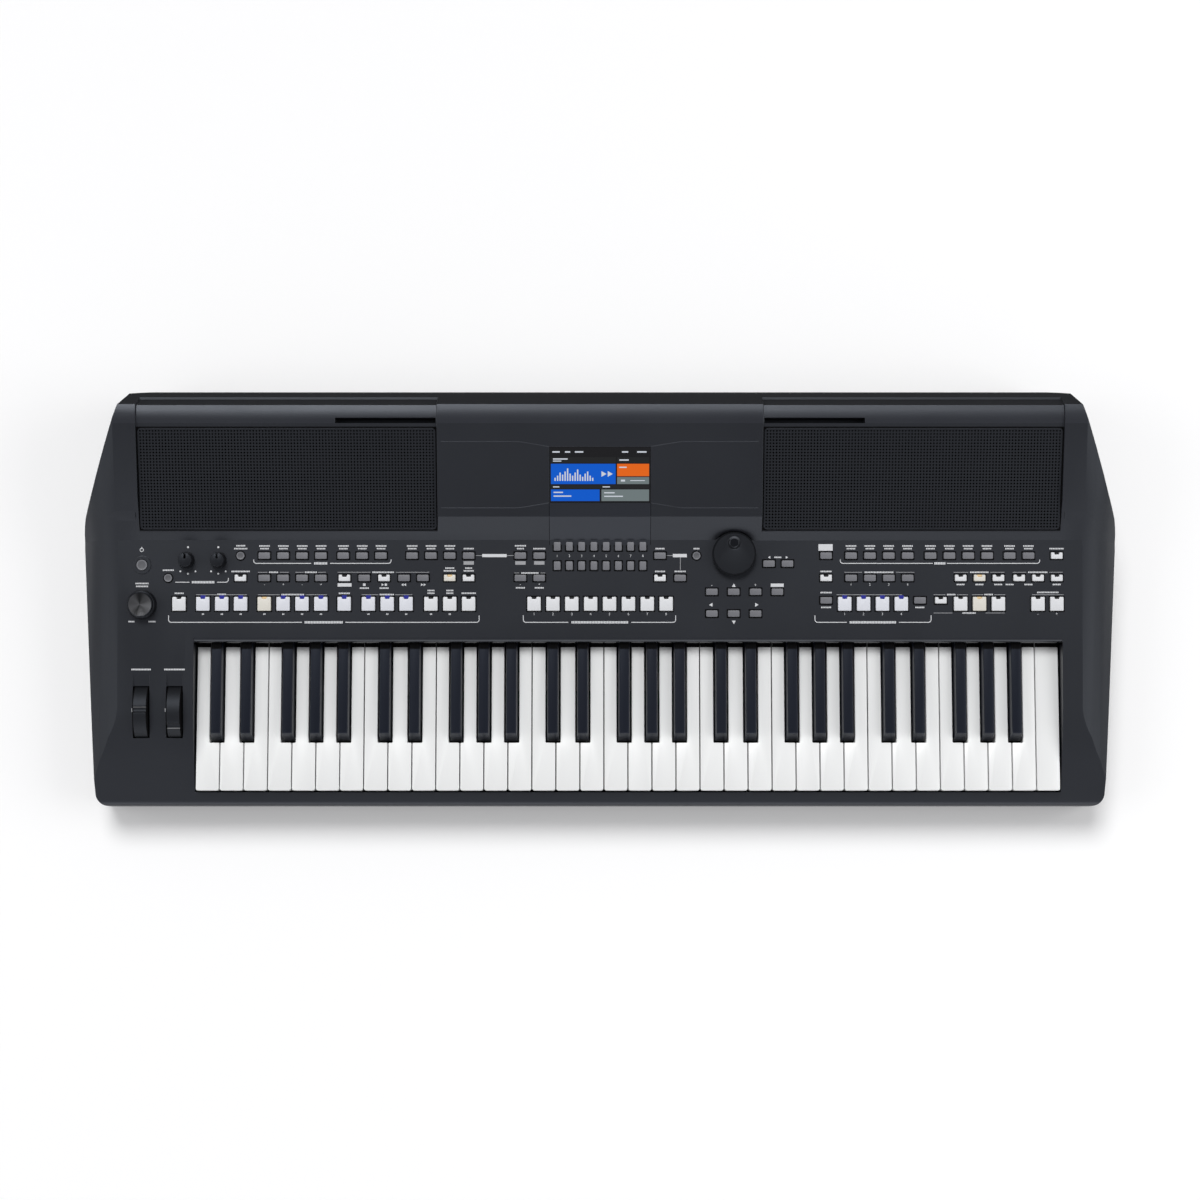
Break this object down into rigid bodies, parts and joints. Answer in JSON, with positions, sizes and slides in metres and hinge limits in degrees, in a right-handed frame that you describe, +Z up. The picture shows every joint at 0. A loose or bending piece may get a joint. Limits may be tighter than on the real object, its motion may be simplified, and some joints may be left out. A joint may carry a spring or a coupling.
{
  "type": "arranger keyboard",
  "caption": "Portable arranger keyboard with sprung keys, built-in speakers behind grilles, a tilted display, button rows, knobs, a data dial and two player wheels.",
  "frame": {"origin": "on the floor under the middle of the case", "axes": "+X to the player's right, +Y to the rear, +Z up"},
  "size_m": [1.0036, 0.41, 0.134],
  "materials": {
    "case_shell": "fine texture",
    "base_shell": "fine texture",
    "grille": "satin, perforated",
    "speaker": "matt",
    "window": "gloss",
    "screen": "gloss",
    "key_white": "gloss",
    "key_black": "satin",
    "button_white": "satin",
    "button_grey": "satin",
    "knob": "satin",
    "wheel": "satin",
    "lamp": "gloss",
    "board": "satin",
    "switch": "satin",
    "steel": "plain",
    "felt": "felt",
    "contact_rubber": "matt",
    "foot_rubber": "matt",
    "socket": "satin",
    "chassis": "matt"
  },
  "bodies": {
    "case": {"bottom_case": "base_shell", "case_screws": "steel", "display_module": "screen", "display_window": "window", "indicator_lamps": "lamp", "jack_board": "board", "key_chassis": "chassis", "key_contact_board": "board", "key_contact_rubber": "contact_rubber", "key_felt": "felt", "key_pivot_rods": "steel", "main_board": "board", "panel_board": "board", "panel_switches": "switch", "phone_jacks": "socket", "rotary_controls": "switch", "rubber_feet": "foot_rubber", "small_sockets": "socket", "speaker_grilles": "grille", "top_case": "case_shell", "tweeters": "speaker", "wheel_bracket": "chassis", "woofers": "speaker"},
    "cursor_buttons_body": {"cursor_buttons": "button_grey"},
    "data_dial_body": {"data_dial": "knob"},
    "display_keys_body": {"display_keys": "button_grey"},
    "left_switch_buttons_body": {"left_switch_buttons": "button_white"},
    "live_knob_1_body": {"live_knob_1": "knob"},
    "live_knob_2_body": {"live_knob_2": "knob"},
    "master_volume_knob_body": {"master_volume_knob": "knob"},
    "menu_buttons_body": {"menu_buttons": "button_grey"},
    "modulation_wheel_body": {"modulation_wheel": "wheel"},
    "multi_pad_buttons_body": {"multi_pad_buttons": "button_white"},
    "octave_1_black_keys_body": {"octave_1_black_keys": "key_black"},
    "octave_1_inner_white_keys_body": {"octave_1_inner_white_keys": "key_white"},
    "octave_1_outer_white_keys_body": {"octave_1_outer_white_keys": "key_white"},
    "octave_2_black_keys_body": {"octave_2_black_keys": "key_black"},
    "octave_2_inner_white_keys_body": {"octave_2_inner_white_keys": "key_white"},
    "octave_2_outer_white_keys_body": {"octave_2_outer_white_keys": "key_white"},
    "octave_3_black_keys_body": {"octave_3_black_keys": "key_black"},
    "octave_3_inner_white_keys_body": {"octave_3_inner_white_keys": "key_white"},
    "octave_3_outer_white_keys_body": {"octave_3_outer_white_keys": "key_white"},
    "octave_4_black_keys_body": {"octave_4_black_keys": "key_black"},
    "octave_4_inner_white_keys_body": {"octave_4_inner_white_keys": "key_white"},
    "octave_4_outer_white_keys_body": {"octave_4_outer_white_keys": "key_white"},
    "octave_5_black_keys_body": {"octave_5_black_keys": "key_black"},
    "octave_5_inner_white_keys_body": {"octave_5_inner_white_keys": "key_white"},
    "octave_5_outer_white_keys_body": {"octave_5_outer_white_keys": "key_white"},
    "part_and_octave_buttons_body": {"part_and_octave_buttons": "button_white"},
    "pitch_bend_wheel_body": {"pitch_bend_wheel": "wheel"},
    "power_button_body": {"power_button": "button_grey"},
    "registration_buttons_body": {"registration_buttons": "button_white"},
    "right_switch_buttons_body": {"right_switch_buttons": "button_white"},
    "round_buttons_body": {"round_buttons": "button_grey"},
    "song_buttons_body": {"song_buttons": "button_grey"},
    "style_category_buttons_body": {"style_category_buttons": "button_grey"},
    "style_control_buttons_body": {"style_control_buttons": "button_white"},
    "top_white_key_body": {"top_white_key": "key_white"},
    "voice_category_buttons_body": {"voice_category_buttons": "button_grey"}
  },
  "joints": [
    {"name": "cursor_buttons_joint", "type": "slide", "parent": "case", "child": "cursor_buttons_body", "axis": [0, 0.0872, -0.9962], "range_m": [0, 0.0007], "stiffness_N_per_m": 2500, "springref_m": -0.0004},
    {"name": "data_dial_joint", "type": "hinge", "parent": "case", "child": "data_dial_body", "pos_m": [0.1292, 0.03655, 0.09082], "axis": [0, -0.0872, 0.9962], "continuous": true},
    {"name": "display_keys_joint", "type": "slide", "parent": "case", "child": "display_keys_body", "axis": [0, 0.0872, -0.9962], "range_m": [0, 0.0007], "stiffness_N_per_m": 2500, "springref_m": -0.0004},
    {"name": "left_switch_buttons_joint", "type": "slide", "parent": "case", "child": "left_switch_buttons_body", "axis": [0, 0.0872, -0.9962], "range_m": [0, 0.0007], "stiffness_N_per_m": 2500, "springref_m": -0.0004},
    {"name": "live_knob_1_joint", "type": "hinge", "parent": "case", "child": "live_knob_1_body", "pos_m": [-0.3992, 0.03077, 0.09032], "axis": [0, -0.0872, 0.9962], "range_deg": [-145, 145]},
    {"name": "live_knob_2_joint", "type": "hinge", "parent": "case", "child": "live_knob_2_body", "pos_m": [-0.3683, 0.03077, 0.09032], "axis": [0, -0.0872, 0.9962], "range_deg": [-145, 145]},
    {"name": "master_volume_knob_joint", "type": "hinge", "parent": "case", "child": "master_volume_knob_body", "pos_m": [-0.4419, -0.01216, 0.08656], "axis": [0, -0.0872, 0.9962], "range_deg": [-150, 150]},
    {"name": "menu_buttons_joint", "type": "slide", "parent": "case", "child": "menu_buttons_body", "axis": [0, 0.0872, -0.9962], "range_m": [0, 0.0007], "stiffness_N_per_m": 2500, "springref_m": -0.0004},
    {"name": "modulation_wheel_joint", "type": "hinge", "parent": "case", "child": "modulation_wheel_body", "pos_m": [-0.4104, -0.1135, 0.0567], "axis": [-1, 0, 0], "range_deg": [0, 64]},
    {"name": "multi_pad_buttons_joint", "type": "slide", "parent": "case", "child": "multi_pad_buttons_body", "axis": [0, 0.0872, -0.9962], "range_m": [0, 0.0007], "stiffness_N_per_m": 2500, "springref_m": -0.0004},
    {"name": "octave_1_black_keys_joint", "type": "hinge", "parent": "case", "child": "octave_1_black_keys_body", "pos_m": [-0.30984, 0.012, 0.066], "axis": [1, 0, 0], "range_deg": [0, 2.85], "stiffness_Nm_per_rad": 2.25, "springref_deg": -11.46},
    {"name": "octave_1_inner_white_keys_joint", "type": "hinge", "parent": "case", "child": "octave_1_inner_white_keys_body", "pos_m": [-0.30984, 0.012, 0.05], "axis": [1, 0, 0], "range_deg": [0, 2.85], "stiffness_Nm_per_rad": 1.35, "springref_deg": -11.46},
    {"name": "octave_1_outer_white_keys_joint", "type": "hinge", "parent": "case", "child": "octave_1_outer_white_keys_body", "pos_m": [-0.30984, 0.012, 0.058], "axis": [1, 0, 0], "range_deg": [0, 2.85], "stiffness_Nm_per_rad": 1.8, "springref_deg": -11.46},
    {"name": "octave_2_black_keys_joint", "type": "hinge", "parent": "case", "child": "octave_2_black_keys_body", "pos_m": [-0.14722, 0.012, 0.066], "axis": [1, 0, 0], "range_deg": [0, 2.85], "stiffness_Nm_per_rad": 2.25, "springref_deg": -11.46},
    {"name": "octave_2_inner_white_keys_joint", "type": "hinge", "parent": "case", "child": "octave_2_inner_white_keys_body", "pos_m": [-0.14722, 0.012, 0.05], "axis": [1, 0, 0], "range_deg": [0, 2.85], "stiffness_Nm_per_rad": 1.35, "springref_deg": -11.46},
    {"name": "octave_2_outer_white_keys_joint", "type": "hinge", "parent": "case", "child": "octave_2_outer_white_keys_body", "pos_m": [-0.14722, 0.012, 0.058], "axis": [1, 0, 0], "range_deg": [0, 2.85], "stiffness_Nm_per_rad": 1.8, "springref_deg": -11.46},
    {"name": "octave_3_black_keys_joint", "type": "hinge", "parent": "case", "child": "octave_3_black_keys_body", "pos_m": [0.01538, 0.012, 0.066], "axis": [1, 0, 0], "range_deg": [0, 2.85], "stiffness_Nm_per_rad": 2.25, "springref_deg": -11.46},
    {"name": "octave_3_inner_white_keys_joint", "type": "hinge", "parent": "case", "child": "octave_3_inner_white_keys_body", "pos_m": [0.01538, 0.012, 0.05], "axis": [1, 0, 0], "range_deg": [0, 2.85], "stiffness_Nm_per_rad": 1.35, "springref_deg": -11.46},
    {"name": "octave_3_outer_white_keys_joint", "type": "hinge", "parent": "case", "child": "octave_3_outer_white_keys_body", "pos_m": [0.01538, 0.012, 0.058], "axis": [1, 0, 0], "range_deg": [0, 2.85], "stiffness_Nm_per_rad": 1.8, "springref_deg": -11.46},
    {"name": "octave_4_black_keys_joint", "type": "hinge", "parent": "case", "child": "octave_4_black_keys_body", "pos_m": [0.17799, 0.012, 0.066], "axis": [1, 0, 0], "range_deg": [0, 2.85], "stiffness_Nm_per_rad": 2.25, "springref_deg": -11.46},
    {"name": "octave_4_inner_white_keys_joint", "type": "hinge", "parent": "case", "child": "octave_4_inner_white_keys_body", "pos_m": [0.17799, 0.012, 0.05], "axis": [1, 0, 0], "range_deg": [0, 2.85], "stiffness_Nm_per_rad": 1.35, "springref_deg": -11.46},
    {"name": "octave_4_outer_white_keys_joint", "type": "hinge", "parent": "case", "child": "octave_4_outer_white_keys_body", "pos_m": [0.17799, 0.012, 0.058], "axis": [1, 0, 0], "range_deg": [0, 2.85], "stiffness_Nm_per_rad": 1.8, "springref_deg": -11.46},
    {"name": "octave_5_black_keys_joint", "type": "hinge", "parent": "case", "child": "octave_5_black_keys_body", "pos_m": [0.3406, 0.012, 0.066], "axis": [1, 0, 0], "range_deg": [0, 2.85], "stiffness_Nm_per_rad": 2.25, "springref_deg": -11.46},
    {"name": "octave_5_inner_white_keys_joint", "type": "hinge", "parent": "case", "child": "octave_5_inner_white_keys_body", "pos_m": [0.3406, 0.012, 0.05], "axis": [1, 0, 0], "range_deg": [0, 2.85], "stiffness_Nm_per_rad": 1.35, "springref_deg": -11.46},
    {"name": "octave_5_outer_white_keys_joint", "type": "hinge", "parent": "case", "child": "octave_5_outer_white_keys_body", "pos_m": [0.3406, 0.012, 0.058], "axis": [1, 0, 0], "range_deg": [0, 2.85], "stiffness_Nm_per_rad": 1.8, "springref_deg": -11.46},
    {"name": "part_and_octave_buttons_joint", "type": "slide", "parent": "case", "child": "part_and_octave_buttons_body", "axis": [0, 0.0872, -0.9962], "range_m": [0, 0.0007], "stiffness_N_per_m": 2500, "springref_m": -0.0004},
    {"name": "pitch_bend_wheel_joint", "type": "hinge", "parent": "case", "child": "pitch_bend_wheel_body", "pos_m": [-0.4426, -0.1135, 0.0567], "axis": [-1, 0, 0], "range_deg": [-30, 30], "stiffness_Nm_per_rad": 0.12},
    {"name": "power_button_joint", "type": "slide", "parent": "case", "child": "power_button_body", "axis": [0, 0.0872, -0.9962], "range_m": [0, 0.0007], "stiffness_N_per_m": 2500, "springref_m": -0.0004},
    {"name": "registration_buttons_joint", "type": "slide", "parent": "case", "child": "registration_buttons_body", "axis": [0, 0.0872, -0.9962], "range_m": [0, 0.0007], "stiffness_N_per_m": 2500, "springref_m": -0.0004},
    {"name": "right_switch_buttons_joint", "type": "slide", "parent": "case", "child": "right_switch_buttons_body", "axis": [0, 0.0872, -0.9962], "range_m": [0, 0.0007], "stiffness_N_per_m": 2500, "springref_m": -0.0004},
    {"name": "round_buttons_joint", "type": "slide", "parent": "case", "child": "round_buttons_body", "axis": [0, 0.0872, -0.9962], "range_m": [0, 0.0007], "stiffness_N_per_m": 2500, "springref_m": -0.0004},
    {"name": "song_buttons_joint", "type": "slide", "parent": "case", "child": "song_buttons_body", "axis": [0, 0.0872, -0.9962], "range_m": [0, 0.0007], "stiffness_N_per_m": 2500, "springref_m": -0.0004},
    {"name": "style_category_buttons_joint", "type": "slide", "parent": "case", "child": "style_category_buttons_body", "axis": [0, 0.0872, -0.9962], "range_m": [0, 0.0007], "stiffness_N_per_m": 2500, "springref_m": -0.0004},
    {"name": "style_control_buttons_joint", "type": "slide", "parent": "case", "child": "style_control_buttons_body", "axis": [0, 0.0872, -0.9962], "range_m": [0, 0.0007], "stiffness_N_per_m": 2500, "springref_m": -0.0004},
    {"name": "top_white_key_joint", "type": "hinge", "parent": "case", "child": "top_white_key_body", "pos_m": [0.43352, 0.012, 0.058], "axis": [1, 0, 0], "range_deg": [0, 2.85], "stiffness_Nm_per_rad": 0.45, "springref_deg": -11.46},
    {"name": "voice_category_buttons_joint", "type": "slide", "parent": "case", "child": "voice_category_buttons_body", "axis": [0, 0.0872, -0.9962], "range_m": [0, 0.0007], "stiffness_N_per_m": 2500, "springref_m": -0.0004}
  ]
}
